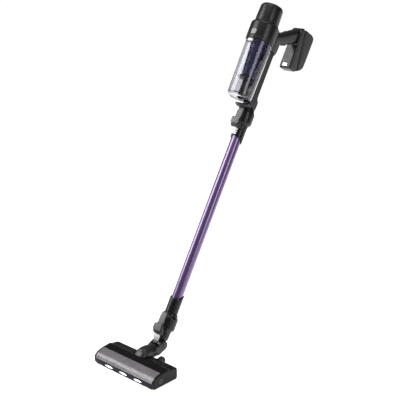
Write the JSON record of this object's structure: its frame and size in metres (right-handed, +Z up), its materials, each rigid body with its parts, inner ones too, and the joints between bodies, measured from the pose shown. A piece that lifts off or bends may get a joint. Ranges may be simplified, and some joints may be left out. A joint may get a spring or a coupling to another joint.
{
  "type": "cordless stick vacuum",
  "caption": "Cordless stick vacuum: motorised floor head on a swivel neck, straight wand, and a handheld unit with clear cyclone cup, filter cap and battery handle.",
  "frame": {"origin": "on the floor, at the middle of the underside of the glide strip below the floor head", "axes": "+Z up from the floor, -Y towards the front of the floor head, +X towards the belt side of the head"},
  "size_m": [0.25, 0.8528, 1.023],
  "materials": {
    "black_shell": "satin textured moulding",
    "grey_plastic": "satin",
    "hidden_plastic": "satin",
    "white_plastic": "satin",
    "purple_plastic": "translucent gloss",
    "purple_tube": "anodised satin",
    "clear_plastic": "clear gloss",
    "smoky_plastic": "smoky translucent gloss",
    "light_lens": "diffusing gloss",
    "soft_rubber": "matte",
    "bristle_fibre": "dense fibre",
    "filter_foam": "felted",
    "circuit_board": "satin",
    "steel": "brushed",
    "cell_wrap": "satin film"
  },
  "bodies": {
    "handheld": {"duct_spine": "black_shell", "cup_seal": "soft_rubber", "body_collar": "black_shell", "pre_filter": "filter_foam", "motor_can": "steel", "exhaust_filter": "filter_foam", "handle_shell_left": "black_shell", "handle_shell_right": "black_shell", "trigger_spring": "steel", "control_board": "circuit_board"},
    "cup": {"dust_cup": "clear_plastic", "cyclone_shroud": "purple_plastic", "cyclone_skirt": "hidden_plastic"},
    "cup_release": {"cup_tab": "white_plastic"},
    "cap": {"filter_cap": "black_shell"},
    "rotor": {"fan_rotor": "steel"},
    "trigger_lever": {"trigger": "grey_plastic"},
    "mode_key": {"mode_button": "grey_plastic"},
    "battery": {"battery_case": "black_shell", "battery_cells": "cell_wrap"},
    "latch": {"battery_latch": "steel"},
    "wand": {"wand_tube": "purple_tube", "wand_lower_sleeve": "black_shell", "wand_upper_sleeve": "black_shell", "upper_socket": "black_shell", "upper_tab": "white_plastic", "upper_spring": "steel"},
    "upper_key": {"upper_button": "grey_plastic"},
    "elbow": {"elbow_stem": "black_shell", "lower_socket": "black_shell", "lower_tab": "white_plastic", "lower_spring": "steel"},
    "lower_key": {"lower_button": "grey_plastic"},
    "neck": {"swivel_barrel": "black_shell", "pivot_pin_left": "steel", "pivot_pin_right": "steel"},
    "head": {"head_housing": "black_shell", "brush_window": "smoky_plastic", "bumper_bar": "black_shell", "sole_plate": "black_shell", "end_cap_left": "black_shell", "end_cap_right": "black_shell", "glide_strip": "soft_rubber", "light_board": "circuit_board", "light_lens_left": "light_lens", "light_lens_center": "light_lens", "light_lens_right": "light_lens", "brush_motor": "steel", "drive_belt": "soft_rubber", "swivel_cover": "grey_plastic", "wheel_axle_left": "steel", "wheel_axle_right": "steel"},
    "brush": {"brush_core": "hidden_plastic", "bristle_strip_a": "bristle_fibre", "bristle_strip_b": "bristle_fibre", "brush_pulley": "hidden_plastic"},
    "motor_shaft": {"motor_pulley": "hidden_plastic"},
    "left_wheel": {"wheel_left": "soft_rubber"},
    "right_wheel": {"wheel_right": "soft_rubber"},
    "lock": {"brush_lock": "grey_plastic"}
  },
  "joints": [
    {"name": "wand_release", "type": "slide", "parent": "handheld", "child": "wand", "axis": [0, -0.518, -0.8554], "range_m": [0, 0.06]},
    {"name": "upper_button_press", "type": "slide", "parent": "wand", "child": "upper_key", "axis": [0, 0.8554, -0.518], "range_m": [0, 0.003], "stiffness_N_per_m": 900, "springref_m": -0.002},
    {"name": "head_release", "type": "slide", "parent": "wand", "child": "elbow", "axis": [0, -0.518, -0.8554], "range_m": [0, 0.06]},
    {"name": "lower_button_press", "type": "slide", "parent": "elbow", "child": "lower_key", "axis": [0, 0.8554, -0.518], "range_m": [0, 0.003], "stiffness_N_per_m": 900, "springref_m": -0.002},
    {"name": "neck_pitch", "type": "hinge", "parent": "elbow", "child": "neck", "pos_m": [0, 0.075, 0.0495], "axis": [1, 0, 0], "range_deg": [-30, 53]},
    {"name": "neck_roll", "type": "hinge", "parent": "neck", "child": "head", "pos_m": [0, 0.028, 0.04], "axis": [0, 1, 0], "range_deg": [-45, 45]},
    {"name": "brush_spin", "type": "hinge", "parent": "head", "child": "brush", "pos_m": [0, -0.043, 0.0182], "axis": [1, 0, 0], "continuous": true},
    {"name": "motor_spin", "type": "hinge", "parent": "head", "child": "motor_shaft", "pos_m": [0, -0.002, 0.021], "axis": [1, 0, 0], "continuous": true},
    {"name": "wheel_left_spin", "type": "hinge", "parent": "head", "child": "left_wheel", "pos_m": [-0.0345, 0.046, 0.015], "axis": [1, 0, 0], "continuous": true},
    {"name": "wheel_right_spin", "type": "hinge", "parent": "head", "child": "right_wheel", "pos_m": [0.0345, 0.046, 0.015], "axis": [1, 0, 0], "continuous": true},
    {"name": "brush_lock_turn", "type": "hinge", "parent": "head", "child": "lock", "pos_m": [0.124, -0.043, 0.0182], "axis": [1, 0, 0], "range_deg": [0, 90]},
    {"name": "cup_tilt", "type": "hinge", "parent": "handheld", "child": "cup", "pos_m": [0, 0.45029, 0.72709], "axis": [1, 0, 0], "range_deg": [0, 20]},
    {"name": "cup_tab_press", "type": "slide", "parent": "cup", "child": "cup_release", "axis": [0, -0.518, -0.8554], "range_m": [0, 0.003], "stiffness_N_per_m": 500, "springref_m": -0.002},
    {"name": "cap_twist", "type": "hinge", "parent": "handheld", "child": "cap", "pos_m": [0, 0.55396, 0.95425], "axis": [0, 0.518, 0.8554], "range_deg": [0, 30]},
    {"name": "rotor_spin", "type": "hinge", "parent": "handheld", "child": "rotor", "pos_m": [0, 0.54515, 0.93971], "axis": [0, 0.518, 0.8554], "continuous": true},
    {"name": "trigger_pull", "type": "slide", "parent": "handheld", "child": "trigger_lever", "axis": [0, 0.0686, 0.9976], "range_m": [0, 0.0025], "stiffness_N_per_m": 600, "springref_m": -0.002},
    {"name": "mode_press", "type": "slide", "parent": "handheld", "child": "mode_key", "axis": [0, 0.0729, -0.9973], "range_m": [0, 0.0015], "stiffness_N_per_m": 600, "springref_m": -0.002},
    {"name": "battery_slide", "type": "slide", "parent": "handheld", "child": "battery", "axis": [0, -0.3169, -0.9485], "range_m": [0, 0.06]},
    {"name": "latch_press", "type": "slide", "parent": "handheld", "child": "latch", "axis": [0, 0.8554, -0.518], "range_m": [0, 0.002], "stiffness_N_per_m": 600, "springref_m": -0.002}
  ],
  "couplings": [
    {"joint": "motor_spin", "follows": "brush_spin", "ratio": 1.6}
  ]
}
